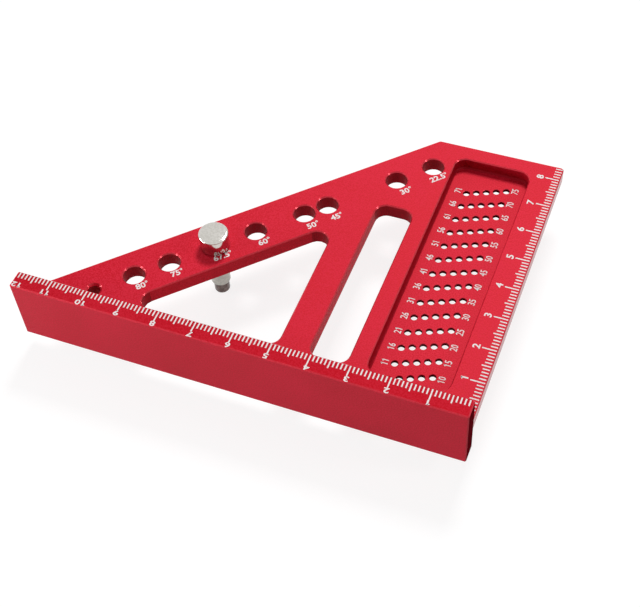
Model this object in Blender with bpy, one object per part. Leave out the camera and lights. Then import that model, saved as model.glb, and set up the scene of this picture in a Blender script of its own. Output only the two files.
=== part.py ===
"""Multi-angle layout ruler with its locating pin.

The ruler is one piece of aluminium: a tall fence that hooks over the edge of
the work, and a flat plate that stands off it like the web of a T. The plate
has a row of pin holes along its sloping edge, a triangular window, a slot and
a shallow pocket whose floor holds a grid of scribing holes. The pin drops
into one of the pin holes and sets the angle of the ruler to the work.

Layout frame: X runs along the fence and is 0 at its right end, Y leaves the
fence and is 0 at its inner face, Z is 0 at the top face of the plate. The
corner where X and Y are 0 is the pivot that the angles are measured from.
"""
import math

import bmesh
import bpy
from mathutils import Vector

# Fence
FENCE_LENGTH = 0.120
FENCE_THICKNESS = 0.005
FENCE_HEIGHT = 0.0193
FENCE_RISE = 0.0072
EDGE_BREAK = 0.0003

# Plate outline
PLATE_DEPTH = 0.085
PLATE_THICKNESS = 0.0044
PLATE_CORNER_RADIUS = 0.0010

# Rails that are left between the openings, from the right end leftwards
SCALE_RAIL = 0.0078
POCKET_RAIL = 0.0048
SHOULDER_RAIL = 0.0065
SLOT_WIDTH = 0.0101
RIB_WIDTH = 0.0080
FENCE_RAIL = 0.0044
SLOPE_RAIL = 0.0152
SLOT_TO_SLOPE = 0.01375
POCKET_END_RAIL = 0.0047
WINDOW_RADIUS = 0.0031

# Pocket and its grid of scribing holes, numbered in millimetres from the fence
POCKET_DEPTH = 0.0034
POCKET_FLOOR_RADIUS = 0.0004
SCRIBE_STEP = 0.001
SCRIBE_COLUMNS = 5
SCRIBE_PITCH = 0.0025
SCRIBE_DIAMETER = 0.0018
SCRIBE_BREAK = 0.0001
SCRIBE_SIDE_MARGIN = 0.00535
SCRIBE_END_MARGIN = 0.0015

# Pin holes, one for each angle
PIN_ANGLES = (22.5, 30, 45, 50, 60, 67.5, 75, 80)
PINNED_ANGLE = 67.5
SMALL_HOLE_ANGLE = 85
PIN_HOLE_DIAMETER = 0.0059
PIN_HOLE_TO_SLOPE = 0.00815
PIN_AXIS_TO_WORK = 0.0035
PIVOT_BEYOND_END = 0.0010
SMALL_HOLE_DIAMETER = 0.0033
SMALL_HOLE_SINK = 0.0006

# Locating pin
PIN_CLEARANCE = 0.0003
PIN_HEAD_DIAMETER = 0.0079
PIN_HEAD_HEIGHT = 0.0047
PIN_HEAD_BREAK = 0.0004
PIN_REACH = 0.0136
PIN_TIP_DIAMETER = 0.0042
PIN_TIP_LENGTH = 0.0038
PIN_TIP_BREAK = 0.0004

# Facets
CORNER_STEPS = 6
HOLE_SIDES = 32
SCRIBE_SIDES = 16
PIN_SIDES = 48
OVERCUT = 0.0001

ANODISED_RED = (0.62, 0.022, 0.045, 1.0)
POLISHED_STEEL = (0.78, 0.78, 0.76, 1.0)

# Places that follow from the sizes above
pocket_right = -SCALE_RAIL
pocket_left = pocket_right - (SCRIBE_COLUMNS - 1) * SCRIBE_PITCH - 2 * SCRIBE_SIDE_MARGIN
slot_right = pocket_left - POCKET_RAIL
slot_left = slot_right - SLOT_WIDTH
window_right = slot_left - RIB_WIDTH
pocket_top = PLATE_DEPTH - POCKET_END_RAIL
slope_start = Vector((-FENCE_LENGTH, 0))
slope_end = Vector((pocket_left - SHOULDER_RAIL, PLATE_DEPTH))
slope_along = (slope_end - slope_start).normalized()
slope_inward = Vector((slope_along.y, -slope_along.x))
pin_shank_diameter = PIN_HOLE_DIAMETER - 2 * PIN_CLEARANCE
pin_end = -PIN_REACH - PIN_TIP_LENGTH


def y_beside_slope(x, distance):
    """Y of the line that runs a distance inside the sloping edge, at x."""
    start = slope_start + slope_inward * distance
    return start.y + (x - start.x) * slope_along.y / slope_along.x


def x_beside_slope(y, distance):
    """X of the same line, at y."""
    start = slope_start + slope_inward * distance
    return start.x + (y - start.y) * slope_along.x / slope_along.y


def pin_hole_centre(angle):
    """Centre of the hole that sets an angle between the work and the scale edge.

    The work lies against the pin and turns about a pivot just beyond the right
    end, so the centre is a set distance below the work's edge, on the line of
    holes beside the slope.
    """
    tilt = math.radians(90 - angle)
    along_work = Vector((-math.cos(tilt), math.sin(tilt)))
    below_work = Vector((-math.sin(tilt), -math.cos(tilt)))
    line_start = slope_start + slope_inward * PIN_HOLE_TO_SLOPE
    beside_pivot = Vector((PIVOT_BEYOND_END, 0)) + below_work * PIN_AXIS_TO_WORK
    reach = (line_start - beside_pivot).dot(slope_inward) / along_work.dot(slope_inward)
    return beside_pivot + along_work * reach


def rounded_ring(corners, radius, grow, z):
    """Points of a polygon, listed anticlockwise, with round corners.

    grow moves the sides outwards and widens the corner arcs with them.
    """
    ring = []
    for index, corner in enumerate(corners):
        before = (corners[index - 1] - corner).normalized()
        after = (corners[(index + 1) % len(corners)] - corner).normalized()
        half_angle = before.angle(after) / 2
        centre = corner + (before + after).normalized() * radius / math.sin(half_angle)
        first = Vector((before.y, -before.x))
        turn = math.pi - 2 * half_angle
        for step in range(CORNER_STEPS + 1):
            angle = math.atan2(-first.y, -first.x) + turn * step / CORNER_STEPS
            spoke = Vector((math.cos(angle), math.sin(angle)))
            point = centre + spoke * (radius + grow)
            ring.append((point.x, point.y, z))
    return ring


def circle_ring(centre, radius, z, sides):
    return [
        (
            centre[0] + radius * math.cos(math.tau * step / sides),
            centre[1] + radius * math.sin(math.tau * step / sides),
            z,
        )
        for step in range(sides)
    ]


def loft(mesh, rings):
    """Closed solid through rings of equal length, listed from the top down."""
    loops = [[mesh.verts.new(point) for point in ring] for ring in rings]
    mesh.faces.new(loops[0])
    mesh.faces.new(reversed(loops[-1]))
    for upper, lower in zip(loops, loops[1:]):
        for index in range(len(upper)):
            following = (index + 1) % len(upper)
            mesh.faces.new((upper[index], lower[index], lower[following], upper[following]))


def new_object(name, mesh, parent=None):
    data = bpy.data.meshes.new(name)
    mesh.normal_update()
    mesh.to_mesh(data)
    mesh.free()
    thing = bpy.data.objects.new(name, data)
    thing.parent = parent
    bpy.context.collection.objects.link(thing)
    return thing


def new_tool(name, mesh, parent):
    """A body that only adds to or cuts the ruler, and isn't a piece itself."""
    tool = new_object(name, mesh, parent)
    tool.hide_render = True
    tool.display_type = "WIRE"
    return tool


def add_boolean(thing, operation, tool):
    modifier = thing.modifiers.new(tool.name, "BOOLEAN")
    modifier.operation = operation
    modifier.solver = "EXACT"
    modifier.object = tool


def new_material(name, colour, roughness, metallic):
    material = bpy.data.materials.new(name)
    material.use_nodes = True
    shader = material.node_tree.nodes["Principled BSDF"]
    shader.inputs["Base Color"].default_value = colour
    shader.inputs["Roughness"].default_value = roughness
    shader.inputs["Metallic"].default_value = metallic
    return material


def finish_piece(thing, material, smooth_under):
    thing.data.materials.append(material)
    thing.data.shade_smooth()
    thing.data.set_sharp_from_angle(angle=math.radians(smooth_under))


def fence_blank(parent):
    """The fence: a square bar with its edges broken."""
    mesh = bmesh.new()
    bmesh.ops.create_cube(mesh, size=1)
    size = Vector((FENCE_LENGTH, FENCE_THICKNESS, FENCE_HEIGHT))
    middle = Vector((-FENCE_LENGTH / 2, -FENCE_THICKNESS / 2, FENCE_RISE - FENCE_HEIGHT / 2))
    bmesh.ops.scale(mesh, vec=size, verts=mesh.verts)
    bmesh.ops.translate(mesh, vec=middle, verts=mesh.verts)
    bmesh.ops.bevel(
        mesh, geom=mesh.edges[:], offset=EDGE_BREAK, segments=1, profile=0.5, affect="EDGES", material=-1
    )
    return new_object("ruler_body", mesh, parent)


def plate_blank(parent):
    """The plate, rooted in the middle of the fence."""
    root = -FENCE_THICKNESS / 2
    corners = [
        Vector((0, root)),
        Vector((0, PLATE_DEPTH)),
        slope_end,
        slope_start,
        Vector((-FENCE_LENGTH, root)),
    ]
    mesh = bmesh.new()
    rings = [
        rounded_ring(corners, PLATE_CORNER_RADIUS, -EDGE_BREAK, 0),
        rounded_ring(corners, PLATE_CORNER_RADIUS, 0, -EDGE_BREAK),
        rounded_ring(corners, PLATE_CORNER_RADIUS, 0, EDGE_BREAK - PLATE_THICKNESS),
        rounded_ring(corners, PLATE_CORNER_RADIUS, -EDGE_BREAK, -PLATE_THICKNESS),
    ]
    loft(mesh, rings)
    return new_tool("plate_blank", mesh, parent)


def through_levels():
    """Height and growth of a cut through the plate with both rims broken."""
    return (
        (OVERCUT, EDGE_BREAK + OVERCUT),
        (-EDGE_BREAK, 0),
        (EDGE_BREAK - PLATE_THICKNESS, 0),
        (-PLATE_THICKNESS - OVERCUT, EDGE_BREAK + OVERCUT),
    )


def window_cutter(name, corners, parent):
    """Opening with round corners, right through the plate."""
    mesh = bmesh.new()
    loft(mesh, [rounded_ring(corners, WINDOW_RADIUS, grow, z) for z, grow in through_levels()])
    return new_tool(name, mesh, parent)


def triangle_window_cutter(parent):
    corners = [
        Vector((x_beside_slope(FENCE_RAIL, SLOPE_RAIL), FENCE_RAIL)),
        Vector((window_right, FENCE_RAIL)),
        Vector((window_right, y_beside_slope(window_right, SLOPE_RAIL))),
    ]
    return window_cutter("triangle_window_cutter", corners, parent)


def slot_cutter(parent):
    slot_top = y_beside_slope(slot_left, SLOT_TO_SLOPE)
    corners = [
        Vector((slot_left, FENCE_RAIL)),
        Vector((slot_right, FENCE_RAIL)),
        Vector((slot_right, slot_top)),
        Vector((slot_left, slot_top)),
    ]
    return window_cutter("slot_cutter", corners, parent)


def pocket_cutter(parent):
    """Pocket with a broken rim, and a small radius round its floor."""
    corners = [
        Vector((pocket_left, FENCE_RAIL)),
        Vector((pocket_right, FENCE_RAIL)),
        Vector((pocket_right, pocket_top)),
        Vector((pocket_left, pocket_top)),
    ]
    levels = (
        (OVERCUT, EDGE_BREAK + OVERCUT),
        (-EDGE_BREAK, 0),
        (POCKET_FLOOR_RADIUS - POCKET_DEPTH, 0),
        (-POCKET_DEPTH, -POCKET_FLOOR_RADIUS),
    )
    mesh = bmesh.new()
    loft(mesh, [rounded_ring(corners, WINDOW_RADIUS, grow, z) for z, grow in levels])
    return new_tool("pocket_cutter", mesh, parent)


def pin_hole_cutter(angle, parent):
    """One pin hole. Each has its own cutter, because two of them nearly meet."""
    centre = pin_hole_centre(angle)
    radius = PIN_HOLE_DIAMETER / 2
    mesh = bmesh.new()
    loft(mesh, [circle_ring(centre, radius + grow, z, HOLE_SIDES) for z, grow in through_levels()])
    return new_tool(f"pin_hole_cutter_{angle:g}", mesh, parent)


def small_hole_cutter(parent):
    """Small hole beyond the last pin hole, with a sunk upper rim."""
    centre = pin_hole_centre(SMALL_HOLE_ANGLE)
    radius = SMALL_HOLE_DIAMETER / 2
    levels = (
        (OVERCUT, SMALL_HOLE_SINK + OVERCUT),
        (-SMALL_HOLE_SINK, 0),
        (-PLATE_THICKNESS - OVERCUT, 0),
    )
    mesh = bmesh.new()
    loft(mesh, [circle_ring(centre, radius + grow, z, HOLE_SIDES) for z, grow in levels])
    return new_tool("small_hole_cutter", mesh, parent)


def scribe_cutter(parent):
    """Scribing holes: each is one step further from the fence than the last.

    A row holds one hole a column, so the numbers climb slantwise, and whole
    rows are drilled as long as they stay clear of the ends of the pocket.
    """
    mesh = bmesh.new()
    radius = SCRIBE_DIAMETER / 2
    floor = -POCKET_DEPTH
    levels = (
        (floor + OVERCUT, SCRIBE_BREAK + OVERCUT),
        (floor - SCRIBE_BREAK, 0),
        (-PLATE_THICKNESS - OVERCUT, 0),
    )
    first_column = pocket_left + SCRIBE_SIDE_MARGIN
    row_length = SCRIBE_COLUMNS * SCRIBE_STEP
    first_row = math.ceil((FENCE_RAIL + SCRIBE_END_MARGIN - SCRIBE_STEP) / row_length)
    last_row = math.floor((pocket_top - SCRIBE_END_MARGIN) / row_length)
    for row in range(first_row, last_row):
        for column in range(SCRIBE_COLUMNS):
            number = row * SCRIBE_COLUMNS + column + 1
            centre = (first_column + column * SCRIBE_PITCH, number * SCRIBE_STEP)
            loft(mesh, [circle_ring(centre, radius + grow, z, SCRIBE_SIDES) for z, grow in levels])
    return new_tool("scribe_cutter", mesh, parent)


def make_body(parent):
    body = fence_blank(parent)
    add_boolean(body, "UNION", plate_blank(parent))
    cutters = [triangle_window_cutter(parent), slot_cutter(parent), pocket_cutter(parent)]
    cutters += [pin_hole_cutter(angle, parent) for angle in PIN_ANGLES]
    cutters += [small_hole_cutter(parent), scribe_cutter(parent)]
    for cutter in cutters:
        add_boolean(body, "DIFFERENCE", cutter)
    finish_piece(body, new_material("anodised_red", ANODISED_RED, 0.38, 0.75), 30)


def make_pin(parent):
    """Turned pin: flat head, plain shank and a thinner tip, its axis at its own X and Y zero."""
    head_radius = PIN_HEAD_DIAMETER / 2
    shank_radius = pin_shank_diameter / 2
    tip_radius = PIN_TIP_DIAMETER / 2
    seat = PIN_CLEARANCE
    top = seat + PIN_HEAD_HEIGHT
    profile = (
        (head_radius - PIN_HEAD_BREAK, top),
        (head_radius, top - PIN_HEAD_BREAK),
        (head_radius, seat + PIN_HEAD_BREAK / 2),
        (head_radius - PIN_HEAD_BREAK / 2, seat),
        (shank_radius, seat),
        (shank_radius, -PIN_REACH + PIN_TIP_BREAK),
        (shank_radius - PIN_TIP_BREAK, -PIN_REACH),
        (tip_radius, -PIN_REACH),
        (tip_radius, pin_end + PIN_TIP_BREAK),
        (tip_radius - PIN_TIP_BREAK, pin_end),
    )
    mesh = bmesh.new()
    loft(mesh, [circle_ring((0, 0), radius, z, PIN_SIDES) for radius, z in profile])
    pin = new_object("locating_pin", mesh, parent)
    pin.location = (*pin_hole_centre(PINNED_ANGLE), 0)
    finish_piece(pin, new_material("polished_steel", POLISHED_STEEL, 0.12, 1.0), 30)


for old in list(bpy.data.objects):
    bpy.data.objects.remove(old, do_unlink=True)

# The part's origin is under the middle of its box, level with the pin's end
layout = bpy.data.objects.new("layout_frame", None)
layout.location = (FENCE_LENGTH / 2, (FENCE_THICKNESS - PLATE_DEPTH) / 2, -pin_end)
bpy.context.collection.objects.link(layout)
make_body(layout)
make_pin(layout)
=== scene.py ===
import math

import bmesh
import bpy
from mathutils import Matrix, Vector


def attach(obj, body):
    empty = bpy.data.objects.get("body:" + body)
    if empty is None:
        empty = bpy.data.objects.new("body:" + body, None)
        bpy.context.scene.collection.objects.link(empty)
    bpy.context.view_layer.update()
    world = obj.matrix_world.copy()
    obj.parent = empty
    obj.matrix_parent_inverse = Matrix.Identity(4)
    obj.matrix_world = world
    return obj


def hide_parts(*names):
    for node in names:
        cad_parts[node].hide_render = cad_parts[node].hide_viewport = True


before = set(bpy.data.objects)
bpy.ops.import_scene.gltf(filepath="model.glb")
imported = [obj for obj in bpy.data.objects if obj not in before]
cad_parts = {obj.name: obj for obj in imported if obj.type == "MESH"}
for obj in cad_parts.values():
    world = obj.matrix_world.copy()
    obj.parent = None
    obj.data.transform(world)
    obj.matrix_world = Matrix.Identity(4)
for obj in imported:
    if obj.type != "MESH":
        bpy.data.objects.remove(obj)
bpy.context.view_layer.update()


# The view, the table and the lamps. The ruler lies face up on a plain white table in a small light
# tent, under one soft lamp above and behind it. A long low lamp lights the front of the fence, and
# two small ones put glints on the rims. Nothing here belongs to the ruler.
camera = bpy.data.objects.new("camera", bpy.data.cameras.new("camera"))
camera.location = (0.094217, -0.194108, 0.257132)
camera.rotation_euler = [math.radians(angle) for angle in (39.0699, 3.6600, 21.6842)]
camera.data.lens = 68.805
camera.data.sensor_width = 36
camera.data.shift_x = 0.03214
camera.data.shift_y = -0.01603
camera.data.clip_start = 0.01
camera.data.clip_end = 10
bpy.context.scene.collection.objects.link(camera)
bpy.context.scene.camera = camera
bpy.context.scene.view_settings.view_transform = "Standard"


def new_nodes(owner):
    """Empties the node tree of a material or world, and gives short ways to add and link nodes."""
    owner.use_nodes = True
    tree = owner.node_tree
    tree.nodes.clear()

    def add(kind, **values):
        node = tree.nodes.new(kind)
        for name, value in values.items():
            setattr(node, name, value)
        return node

    return add, tree.links.new


def add_background_mask(add, link):
    """Socket that is 1 for a ray that shows the background, and 0 for one that lights the ruler."""
    paths = add("ShaderNodeLightPath")
    straight_or_mirrored = add("ShaderNodeMath", operation="MAXIMUM")
    any_view = add("ShaderNodeMath", operation="MAXIMUM")
    link(paths.outputs["Is Camera Ray"], straight_or_mirrored.inputs[0])
    link(paths.outputs["Is Glossy Ray"], straight_or_mirrored.inputs[1])
    link(straight_or_mirrored.outputs[0], any_view.inputs[0])
    link(paths.outputs["Is Transmission Ray"], any_view.inputs[1])
    return any_view.outputs[0]


def soft_lamp(name, place, aim, size, watts):
    data = bpy.data.lights.new(name, "AREA")
    data.shape = "RECTANGLE"
    data.size, data.size_y = size
    data.energy = watts
    lamp = bpy.data.objects.new(name, data)
    lamp.location = place
    lamp.rotation_euler = (Vector(aim) - Vector(place)).to_track_quat("-Z", "Y").to_euler()
    bpy.context.scene.collection.objects.link(lamp)


PLATE_MIDDLE = (0, 0, 0.01)
FENCE_MIDDLE = (-0.03, -0.045, 0.015)
soft_lamp("lamp_behind", (-0.03, 0.63, 0.95), PLATE_MIDDLE, (0.28, 0.28), 7.9)
soft_lamp("lamp_front_left", (-0.42, -0.26, 0.05), FENCE_MIDDLE, (0.4, 0.06), 2.5)
soft_lamp("glint_right", (0.50, 0.07, 0.33), PLATE_MIDDLE, (0.09, 0.09), 0.40)
soft_lamp("glint_front_left", (-0.40, -0.36, 0.26), PLATE_MIDDLE, (0.09, 0.09), 0.36)

WHITE = (1, 1, 1, 1)
TENT_STRENGTH = 0.24
SEEN_STRENGTH = 1.0

world = bpy.data.worlds.new("light_tent")
bpy.context.scene.world = world
add, link = new_nodes(world)
tent_light = add("ShaderNodeBackground")
tent_light.inputs["Color"].default_value = WHITE
tent_light.inputs["Strength"].default_value = TENT_STRENGTH
seen_white = add("ShaderNodeBackground")
seen_white.inputs["Color"].default_value = WHITE
seen_white.inputs["Strength"].default_value = SEEN_STRENGTH
lit_or_seen = add("ShaderNodeMixShader")
output = add("ShaderNodeOutputWorld")
link(add_background_mask(add, link), lit_or_seen.inputs[0])
link(tent_light.outputs[0], lit_or_seen.inputs[1])
link(seen_white.outputs[0], lit_or_seen.inputs[2])
link(lit_or_seen.outputs[0], output.inputs["Surface"])

TABLE_HALF_WIDTH = 3
TABLE_TOP = -0.0001
TABLE_COLOUR = (0.85, 0.85, 0.85, 1)
SHADOW_COLOUR = (0.22, 0.22, 0.22, 1)
TABLE_GLOW = 0.84

table_mesh = bmesh.new()
bmesh.ops.create_grid(table_mesh, x_segments=1, y_segments=1, size=TABLE_HALF_WIDTH)
bmesh.ops.translate(table_mesh, verts=table_mesh.verts, vec=(0, 0, TABLE_TOP))
table_data = bpy.data.meshes.new("table")
table_mesh.to_mesh(table_data)
table_mesh.free()
table = bpy.data.objects.new("table", table_data)
bpy.context.scene.collection.objects.link(table)

table_white = bpy.data.materials.new("table_white")
add, link = new_nodes(table_white)
lit = add("ShaderNodeBsdfDiffuse")
lit.inputs["Color"].default_value = TABLE_COLOUR
shadows = add("ShaderNodeBsdfDiffuse")
shadows.inputs["Color"].default_value = SHADOW_COLOUR
glow = add("ShaderNodeEmission")
glow.inputs["Color"].default_value = WHITE
glow.inputs["Strength"].default_value = TABLE_GLOW
seen_white = add("ShaderNodeAddShader")
lit_or_seen = add("ShaderNodeMixShader")
output = add("ShaderNodeOutputMaterial")
link(shadows.outputs[0], seen_white.inputs[0])
link(glow.outputs[0], seen_white.inputs[1])
link(add_background_mask(add, link), lit_or_seen.inputs[0])
link(lit.outputs[0], lit_or_seen.inputs[1])
link(seen_white.outputs[0], lit_or_seen.inputs[2])
link(lit_or_seen.outputs[0], output.inputs["Surface"])
table.data.materials.append(table_white)


# Ruler body: one piece of aluminium machined from a T-section, bead blasted to a fine satin and
# anodised red. Its broken rims and its right-hand side are smoother and brighter than the flats,
# and its fence is a little darker. The darker reds on the upright faces of the fence, on its end
# and on the walls of the openings and the pocket are painted shade.
RIGHT_END = 0.060
FENCE_INNER_FACE = -0.040
FENCE_TOP = 0.0246
PLATE_TOP = 0.0174
POCKET_FLOOR = 0.0140
PLATE_UNDERSIDE = 0.0130
POCKET_LEFT = RIGHT_END - 0.0286
POCKET_FAR_END = FENCE_INNER_FACE + 0.0804
RIM_DEPTH = 0.00035
SCRIBING_RIM_DEPTH = 0.00012
BROKEN_RIMS = (FENCE_TOP, RIM_DEPTH), (PLATE_TOP, RIM_DEPTH), (POCKET_FLOOR, SCRIBING_RIM_DEPTH)
SIDE_DEPTH = 0.0002
SMALL_WALL_AREA = 0.00006
STRAIGHT = 0.95
UPRIGHT_WALL = 0.35
SHARP_OVER = math.radians(30)
MERGE_WITHIN = 0.000001
GRAIN_SHARE = 0.75
NOISE_LOW, NOISE_HIGH = 0.42, 0.58
DYE_PATCH = 0.022


def new_grain_group():
    """Fine blasted grain over soft, wide patches where the dye took a little differently."""
    group = bpy.data.node_groups.new("blasted_grain", "ShaderNodeTree")
    for name, in_out, kind in (
        ("Vector", "INPUT", "NodeSocketVector"),
        ("Grain Scale", "INPUT", "NodeSocketFloat"),
        ("Patch Scale", "INPUT", "NodeSocketFloat"),
        ("Height", "OUTPUT", "NodeSocketFloat"),
        ("Tint", "OUTPUT", "NodeSocketFloat"),
    ):
        group.interface.new_socket(name=name, in_out=in_out, socket_type=kind)
    nodes, connect = group.nodes, group.links.new
    taken, given = nodes.new("NodeGroupInput"), nodes.new("NodeGroupOutput")
    grain, patches = nodes.new("ShaderNodeTexNoise"), nodes.new("ShaderNodeTexNoise")
    grain.inputs["Detail"].default_value = 2
    grain.inputs["Roughness"].default_value = 0.6
    patches.inputs["Detail"].default_value = 3
    blend = nodes.new("ShaderNodeMix")
    blend.inputs["Factor"].default_value = GRAIN_SHARE
    connect(taken.outputs["Vector"], grain.inputs["Vector"])
    connect(taken.outputs["Vector"], patches.inputs["Vector"])
    connect(taken.outputs["Grain Scale"], grain.inputs["Scale"])
    connect(taken.outputs["Patch Scale"], patches.inputs["Scale"])
    connect(grain.outputs["Fac"], given.inputs["Height"])
    connect(patches.outputs["Fac"], blend.inputs["A"])
    connect(grain.outputs["Fac"], blend.inputs["B"])
    connect(blend.outputs["Result"], given.inputs["Tint"])
    return group


blasted_grain = new_grain_group()


def new_finish(name, dark, light, roughness, metal, grain_size, patch_size, relief, shine=0.5):
    """Finish whose colour and roughness wander between two values with the grain."""
    material = bpy.data.materials.new(name)
    add, link = new_nodes(material)
    place = add("ShaderNodeTexCoord")
    grain = add("ShaderNodeGroup", node_tree=blasted_grain)
    grain.inputs["Grain Scale"].default_value = 1 / grain_size
    grain.inputs["Patch Scale"].default_value = 1 / patch_size
    spread = add("ShaderNodeMapRange")
    spread.inputs["From Min"].default_value = NOISE_LOW
    spread.inputs["From Max"].default_value = NOISE_HIGH
    colour = add("ShaderNodeMix", data_type="RGBA")
    colour.inputs["A"].default_value = (*dark, 1)
    colour.inputs["B"].default_value = (*light, 1)
    gloss = add("ShaderNodeMapRange")
    gloss.inputs["To Min"].default_value = roughness[0]
    gloss.inputs["To Max"].default_value = roughness[1]
    bump = add("ShaderNodeBump")
    bump.inputs["Strength"].default_value = 1.0
    bump.inputs["Distance"].default_value = relief
    shader = add("ShaderNodeBsdfPrincipled")
    shader.inputs["Metallic"].default_value = metal
    shader.inputs["Specular IOR Level"].default_value = shine
    output = add("ShaderNodeOutputMaterial")
    link(place.outputs["Object"], grain.inputs["Vector"])
    link(grain.outputs["Tint"], spread.inputs["Value"])
    link(spread.outputs["Result"], colour.inputs["Factor"])
    link(spread.outputs["Result"], gloss.inputs["Value"])
    link(grain.outputs["Height"], bump.inputs["Height"])
    link(colour.outputs["Result"], shader.inputs["Base Color"])
    link(gloss.outputs["Result"], shader.inputs["Roughness"])
    link(bump.outputs["Normal"], shader.inputs["Normal"])
    link(shader.outputs["BSDF"], output.inputs["Surface"])
    return material


def new_piece(name, mesh, *materials):
    data = bpy.data.meshes.new(name)
    mesh.to_mesh(data)
    mesh.free()
    for material in materials:
        data.materials.append(material)
    piece = bpy.data.objects.new(name, data)
    bpy.context.scene.collection.objects.link(piece)
    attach(piece, "root")
    return piece


def shade_by_angle(mesh, sharp_over):
    for face in mesh.faces:
        face.smooth = True
    for edge in mesh.edges:
        edge.smooth = len(edge.link_faces) == 2 and edge.calc_face_angle() < sharp_over


def keep_flats_flat(piece):
    """Lets the wide faces set the shading, so that a flat stays flat beside a round corner."""
    normals = piece.modifiers.new("flat_walls", "WEIGHTED_NORMAL")
    normals.keep_sharp = True
    normals.weight = 100


satin_red = new_finish(
    "anodised_red_satin", (0.54, 0.003, 0.016), (0.66, 0.017, 0.043), (0.46, 0.60),
    metal=0.13, grain_size=0.00036, patch_size=DYE_PATCH, relief=0.000045, shine=0.10,
)
rim_red = new_finish(
    "anodised_red_rim", (0.56, 0.008, 0.024), (0.66, 0.020, 0.044), (0.16, 0.24),
    metal=0.30, grain_size=0.00040, patch_size=DYE_PATCH, relief=0.000004, shine=0.4,
)
# The fence's upright and lower faces: its own darker tone, made darker still than its top by
# painted shade.
fence_red_painted_shade = new_finish(
    "anodised_red_fence", (0.36, 0.002, 0.012), (0.48, 0.012, 0.032), (0.46, 0.60),
    metal=0.13, grain_size=0.00036, patch_size=DYE_PATCH, relief=0.000045, shine=0.12,
)
fence_top_red = new_finish(
    "anodised_red_fence_top", (0.51, 0.009, 0.019), (0.61, 0.018, 0.036), (0.50, 0.60),
    metal=0.08, grain_size=0.00036, patch_size=DYE_PATCH, relief=0.000030, shine=0.0,
)
# Painted shade: a near-black red for the walls of the scribing holes and the end of the fence.
painted_shade_red = new_finish(
    "anodised_red_painted_shade", (0.10, 0.002, 0.005), (0.14, 0.004, 0.009), (0.50, 0.60),
    metal=0.0, grain_size=0.00045, patch_size=DYE_PATCH, relief=0.000020, shine=0.0,
)
side_red = new_finish(
    "anodised_red_side", (0.40, 0.020, 0.036), (0.50, 0.035, 0.056), (0.20, 0.30),
    metal=0.20, grain_size=0.00045, patch_size=DYE_PATCH, relief=0.000020, shine=1.0,
)
# Painted shade: a dark red for the walls of the pocket and the small walls of the openings.
painted_shade_wall_red = new_finish(
    "anodised_red_wall_painted_shade", (0.32, 0.002, 0.009), (0.40, 0.007, 0.020), (0.46, 0.60),
    metal=0.13, grain_size=0.00040, patch_size=DYE_PATCH, relief=0.000030, shine=0.08,
)
BODY_FINISHES = satin_red, rim_red, fence_red_painted_shade, painted_shade_red, side_red, painted_shade_wall_red, fence_top_red


def body_finish(face):
    """Finish of one face of the body, by the way it faces and by where it lies."""
    x, y, z = face.calc_center_median()
    rise = face.normal.z
    wall = abs(rise) < UPRIGHT_WALL
    above_plate = z > PLATE_TOP + RIM_DEPTH
    if UPRIGHT_WALL < rise < STRAIGHT and any(0 < top - z < depth for top, depth in BROKEN_RIMS):
        return rim_red
    # The end of the fence takes the near-black red of painted shade.
    if face.normal.x > STRAIGHT and x > RIGHT_END - SIDE_DEPTH:
        return side_red if y > FENCE_INNER_FACE else painted_shade_red
    if rise > STRAIGHT and above_plate:
        return fence_top_red
    # Upright and lower faces of the fence: painted shade over its own darker tone.
    if above_plate or y < FENCE_INNER_FACE:
        return fence_red_painted_shade
    # Walls of the scribing holes: painted shade.
    if wall and PLATE_UNDERSIDE < z < POCKET_FLOOR:
        return painted_shade_red
    # Small walls of the openings, and the walls and floor fillet of the pocket below: painted
    # shade.
    if wall and z < PLATE_TOP and face.calc_area() < SMALL_WALL_AREA:
        return painted_shade_wall_red
    if abs(rise) < STRAIGHT and z > POCKET_FLOOR and x > POCKET_LEFT and y < POCKET_FAR_END:
        return painted_shade_wall_red
    return satin_red


body_mesh = bmesh.new()
body_mesh.from_mesh(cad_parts["ruler_body"].data)
bmesh.ops.remove_doubles(body_mesh, verts=body_mesh.verts, dist=MERGE_WITHIN)
shade_by_angle(body_mesh, SHARP_OVER)
for face in body_mesh.faces:
    face.material_index = BODY_FINISHES.index(body_finish(face))
ruler = new_piece("ruler", body_mesh, *BODY_FINISHES)
keep_flats_flat(ruler)
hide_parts("ruler_body")


# Fence scale: a row of millimetre marks along the top of the fence with a number at each
# centimetre, read from the far side. They are etched through the dye by laser, which leaves bare,
# pale and slightly rough aluminium.
MARK_WIDTH = 0.00036
MARK_PROUD = 0.00002
MARK_SUNK = 0.00003
MARK_MARGIN = 0.0003
FENCE_MILLIMETRES = 120
FENCE_MARK_LENGTHS = (0.0033, 0.0026, 0.0020)
FENCE_NUMBER_INSET = 0.0041
FENCE_NUMBER_SIZE = (0.0015, 0.0014)
FENCE_NUMBER_SHIFTS = {1: 0.00015, 3: 0.0002, 4: 0.0003, 5: -0.0001, 12: 0.0017}

etched_white = new_finish(
    "etched_white", (0.80, 0.74, 0.74), (0.92, 0.89, 0.88), (0.55, 0.70),
    metal=0.0, grain_size=0.00018, patch_size=0.004, relief=0.000004,
)


def mark_length(step, lengths):
    """Length of the mark at a millimetre: the longest at a centimetre, the next at a half."""
    return lengths[0] if step % 10 == 0 else lengths[1] if step % 5 == 0 else lengths[2]


def add_mark(mesh, lowest, highest):
    """Thin raised bar between two corners."""
    low, high = Vector(lowest), Vector(highest)
    size = Matrix.Diagonal((*(high - low), 1))
    bmesh.ops.create_cube(mesh, size=1, matrix=Matrix.Translation((low + high) / 2) @ size)


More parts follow.
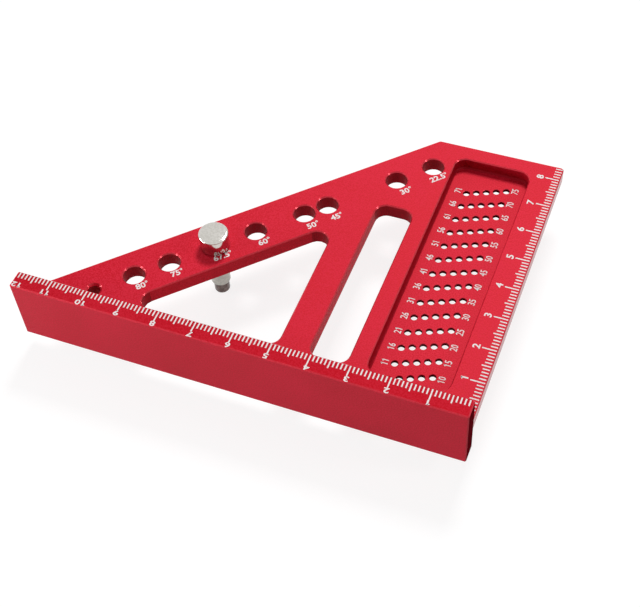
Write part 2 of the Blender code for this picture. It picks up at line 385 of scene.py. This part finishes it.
# The built-in digits as they are drawn, before they get their size: how far apart, how wide and
# how high they are, how high their middle lies, and the place, size and slope of a flag.
DRAWN_STEP = 0.5
DRAWN_WIDTH = 0.48
DRAWN_HEIGHT = 0.74
DRAWN_MIDDLE = 0.345
FLAG_PLACE = (0.165, 0.595)
FLAG_SIZE = (0.25, 0.11, 1)
FLAG_SLOPE = math.radians(38)


def add_number(mesh, text, centre, turn, size, boldness=0.024):
    """Number centred on a place, turned about the upright axis, by the height and width of a digit.

    The digits all have the same width. Their 1 is a bare stem, so it gets its flag here.
    """
    curve = bpy.data.curves.new("number", "FONT")
    curve.body = text
    curve.resolution_u = 3
    curve.offset = boldness
    curve.extrude = 0.5
    letters = bpy.data.objects.new("number", curve)
    bpy.context.scene.collection.objects.link(letters)
    bpy.context.view_layer.update()
    drawn = bpy.data.meshes.new_from_object(letters)
    bpy.data.objects.remove(letters)
    bpy.data.curves.remove(curve)
    number = bmesh.new()
    number.from_mesh(drawn)
    bpy.data.meshes.remove(drawn)
    for position, digit in enumerate(text):
        if digit == "1":
            foot = Matrix.Translation((DRAWN_STEP * position + FLAG_PLACE[0], FLAG_PLACE[1], 0))
            slope = foot @ Matrix.Rotation(FLAG_SLOPE, 4, "Z")
            flag = slope @ Matrix.Diagonal((*FLAG_SIZE, 1))
            bmesh.ops.create_cube(number, size=1, matrix=flag)
    across = [vertex.co.x for vertex in number.verts]
    middle = Vector(((min(across) + max(across)) / 2, DRAWN_MIDDLE, 0))
    bmesh.ops.translate(number, verts=number.verts, vec=-middle)
    height, width = size
    thickness = MARK_PROUD + MARK_SUNK
    scale = Matrix.Diagonal((width / DRAWN_WIDTH, height / DRAWN_HEIGHT, thickness, 1))
    lift = Matrix.Translation((0, 0, MARK_PROUD - thickness / 2))
    place = Matrix.Translation(centre) @ lift @ Matrix.Rotation(math.radians(turn), 4, "Z") @ scale
    bmesh.ops.transform(number, verts=number.verts, matrix=place)
    bmesh.ops.remove_doubles(number, verts=number.verts, dist=MERGE_WITHIN / 2)
    finished = bpy.data.meshes.new("number")
    number.to_mesh(finished)
    number.free()
    mesh.from_mesh(finished)
    bpy.data.meshes.remove(finished)


fence_marks = bmesh.new()
for step in range(1, FENCE_MILLIMETRES):
    length = mark_length(step, FENCE_MARK_LENGTHS)
    x = RIGHT_END - step * 0.001
    add_mark(
        fence_marks,
        (x - MARK_WIDTH / 2, FENCE_INNER_FACE - length, FENCE_TOP - MARK_SUNK),
        (x + MARK_WIDTH / 2, FENCE_INNER_FACE - MARK_MARGIN, FENCE_TOP + MARK_PROUD),
    )
for centimetre in range(1, 13):
    x = RIGHT_END - centimetre * 0.01 + FENCE_NUMBER_SHIFTS.get(centimetre, 0)
    centre = (x, FENCE_INNER_FACE - FENCE_NUMBER_INSET, FENCE_TOP)
    add_number(fence_marks, str(centimetre), centre, 180, FENCE_NUMBER_SIZE)
fence_scale = new_piece("fence_scale", fence_marks, etched_white)


# Edge scale: millimetre marks beside the right-hand edge of the plate, with its centimetre numbers
# turned to be read along that edge. It is etched in the same way as the fence scale.
EDGE_MILLIMETRES = 85
EDGE_MARK_LENGTHS = (0.00395, 0.0026, 0.00205)
EDGE_NUMBER_INSET = 0.0054
EDGE_NUMBER_SIZE = (0.0019, 0.0014)

edge_marks = bmesh.new()
for step in range(1, EDGE_MILLIMETRES):
    length = mark_length(step, EDGE_MARK_LENGTHS)
    y = FENCE_INNER_FACE + step * 0.001
    add_mark(
        edge_marks,
        (RIGHT_END - length, y - MARK_WIDTH / 2, PLATE_TOP - MARK_SUNK),
        (RIGHT_END - MARK_MARGIN, y + MARK_WIDTH / 2, PLATE_TOP + MARK_PROUD),
    )
for centimetre in range(1, 9):
    y = FENCE_INNER_FACE + centimetre * 0.01
    centre = (RIGHT_END - EDGE_NUMBER_INSET, y, PLATE_TOP)
    add_number(edge_marks, str(centimetre), centre, 90, EDGE_NUMBER_SIZE)
edge_scale = new_piece("edge_scale", edge_marks, etched_white)


# Angle marks: one etched number of degrees at the lower right of each pin hole, turned to run
# along the sloping edge, with a small ring after its last digit as the degree sign.
ANGLE_PLACES = {
    "22.5": (-0.0312, 0.0711),
    "30": (-0.0380, 0.0637),
    "45": (-0.0525, 0.0490),
    "50": (-0.0574, 0.0442),
    "60": (-0.0674, 0.0347),
    "67.5": (-0.0758, 0.0266),
    "75": (-0.0848, 0.0175),
    "80": (-0.0916, 0.0108),
}
ANGLE_TURN = 45
ANGLE_DIGIT_WIDTH = 0.00125
ANGLE_NUMBER_SIZE = (0.0018, ANGLE_DIGIT_WIDTH)
ANGLE_BOLDNESS = 0.026
HALF_POINT_WIDTH = 0.0002
RING_ROOM = 0.0002
RING_SHIFT = (-0.0004, 0.0006)
RING_BORE = 0.00015
RING_RADIUS = 0.00035
RING_STEPS = 14


def add_degree_ring(mesh, x, y):
    """Small flat ring, spun from the four corners of its section."""
    low, high = PLATE_TOP - MARK_SUNK, PLATE_TOP + MARK_PROUD
    corners = (RING_BORE, low), (RING_BORE, high), (RING_RADIUS, high), (RING_RADIUS, low)
    section = [mesh.verts.new((x + radius, y, height)) for radius, height in corners]
    edges = [mesh.edges.new(pair) for pair in zip(section, section[1:] + section[:1])]
    bmesh.ops.spin(
        mesh, geom=section + edges, cent=(x, y, PLATE_TOP), axis=(0, 0, 1),
        angle=math.tau, steps=RING_STEPS, use_merge=True,
    )


angle_numbers = bmesh.new()
for angle, (from_right, from_fence) in ANGLE_PLACES.items():
    x, y = RIGHT_END + from_right, FENCE_INNER_FACE + from_fence
    centre = (x - RING_ROOM, y - RING_ROOM, PLATE_TOP)
    add_number(angle_numbers, angle, centre, ANGLE_TURN, ANGLE_NUMBER_SIZE, ANGLE_BOLDNESS)
    digits = len(angle.replace(".", ""))
    half_length = DRAWN_STEP * ANGLE_DIGIT_WIDTH / DRAWN_WIDTH * digits / 2
    if "." in angle:
        half_length += HALF_POINT_WIDTH
    along = half_length * math.cos(math.radians(ANGLE_TURN))
    add_degree_ring(angle_numbers, x + along + RING_SHIFT[0], y + along + RING_SHIFT[1])
bmesh.ops.recalc_face_normals(angle_numbers, faces=angle_numbers.faces)
angle_marks = new_piece("angle_marks", angle_numbers, etched_white)


# Row numbers: the first and last hole of each row of scribing holes has its distance from the
# fence in millimetres etched beside it, on the floor of the pocket. The numbers drift a little
# away from the fence, from row to row, against their holes.
HOLES_IN_ROW = 5
FIRST_ROW, LAST_ROW = 6, 71
ROW_NUMBER_SIZE = (0.0019, 0.00098)
ROW_BOLDNESS = 0.010
ROW_COLUMNS = (
    (0, RIGHT_END - 0.0256, -0.00055, 0.0000120),
    (HOLES_IN_ROW - 1, RIGHT_END - 0.0109, -0.00014, 0.0000095),
)

row_labels = bmesh.new()
for first in range(FIRST_ROW, LAST_ROW + 1, HOLES_IN_ROW):
    for hole, x, lift, drift in ROW_COLUMNS:
        number = first + hole
        y = FENCE_INNER_FACE + number * 0.001 + lift + number * drift
        add_number(row_labels, str(number), (x, y, POCKET_FLOOR), 90, ROW_NUMBER_SIZE, ROW_BOLDNESS)
row_numbers = new_piece("row_numbers", row_labels, etched_white)


# Locating pin: turned from steel bar, with a polished flat head whose rim is broken by a small
# round, a turned shank that slides in the pin holes, and a thinner tip. The shank and most of all
# the tip are coloured darker than the head, a painted dark reflection and shade. It drops in from
# above by hand and nothing fixes it.
PIN_AXIS = (RIGHT_END - 0.07909, FENCE_INNER_FACE + 0.02939)
PIN_PROFILE = (
    (0.0, 0.0050),
    (0.00345, 0.0050),
    (0.00370, 0.00494),
    (0.00389, 0.00475),
    (0.00395, 0.00450),
    (0.00395, 0.00055),
    (0.00390, 0.00038),
    (0.00375, 0.0003),
    (0.00265, 0.0003),
    (0.00265, -0.0132),
    (0.00253, -0.01348),
    (0.00225, -0.0136),
    (0.0021, -0.0136),
    (0.0021, -0.0170),
    (0.00198, -0.01728),
    (0.0017, -0.0174),
    (0.0, -0.0174),
)
PIN_STEPS = 96
PIN_SHARP_OVER = math.radians(40)
SHANK_STARTS = PLATE_TOP - 0.0002
TIP_STARTS = PLATE_TOP - 0.0135

polished_steel = new_finish(
    "polished_steel", (0.57, 0.55, 0.51), (0.63, 0.61, 0.57), (0.05, 0.10),
    metal=1.0, grain_size=0.0006, patch_size=0.006, relief=0.0000003,
)
# Shank and tip are coloured darker than the head: a painted dark reflection and shade.
turned_steel_painted_dark_reflection = new_finish(
    "turned_steel_painted_dark_reflection", (0.36, 0.35, 0.32), (0.42, 0.41, 0.37), (0.18, 0.26),
    metal=1.0, grain_size=0.0009, patch_size=0.004, relief=0.0000004,
)
tip_steel_painted_dark_reflection = new_finish(
    "tip_steel_painted_dark_reflection", (0.09, 0.065, 0.060), (0.17, 0.13, 0.12), (0.18, 0.26),
    metal=1.0, grain_size=0.0009, patch_size=0.003, relief=0.0000004,
)
PIN_FINISHES = polished_steel, turned_steel_painted_dark_reflection, tip_steel_painted_dark_reflection


def pin_finish(face):
    """Finish of one face of the pin, by its height."""
    height = face.calc_center_median().z
    if height < TIP_STARTS:
        return tip_steel_painted_dark_reflection
    return turned_steel_painted_dark_reflection if height < SHANK_STARTS else polished_steel


pin_mesh = bmesh.new()
outline = [pin_mesh.verts.new((*PIN_AXIS, 0)) for _ in PIN_PROFILE]
for vertex, (radius, height) in zip(outline, PIN_PROFILE):
    vertex.co += Vector((radius, 0, PLATE_TOP + height))
edges = [pin_mesh.edges.new(pair) for pair in zip(outline, outline[1:])]
bmesh.ops.spin(
    pin_mesh, geom=outline + edges, cent=(*PIN_AXIS, 0), axis=(0, 0, 1),
    angle=math.tau, steps=PIN_STEPS, use_merge=True,
)
bmesh.ops.remove_doubles(pin_mesh, verts=pin_mesh.verts, dist=MERGE_WITHIN)
bmesh.ops.recalc_face_normals(pin_mesh, faces=pin_mesh.faces)
shade_by_angle(pin_mesh, PIN_SHARP_OVER)
for face in pin_mesh.faces:
    face.material_index = PIN_FINISHES.index(pin_finish(face))
pin = new_piece("pin", pin_mesh, *PIN_FINISHES)
keep_flats_flat(pin)
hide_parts("locating_pin")
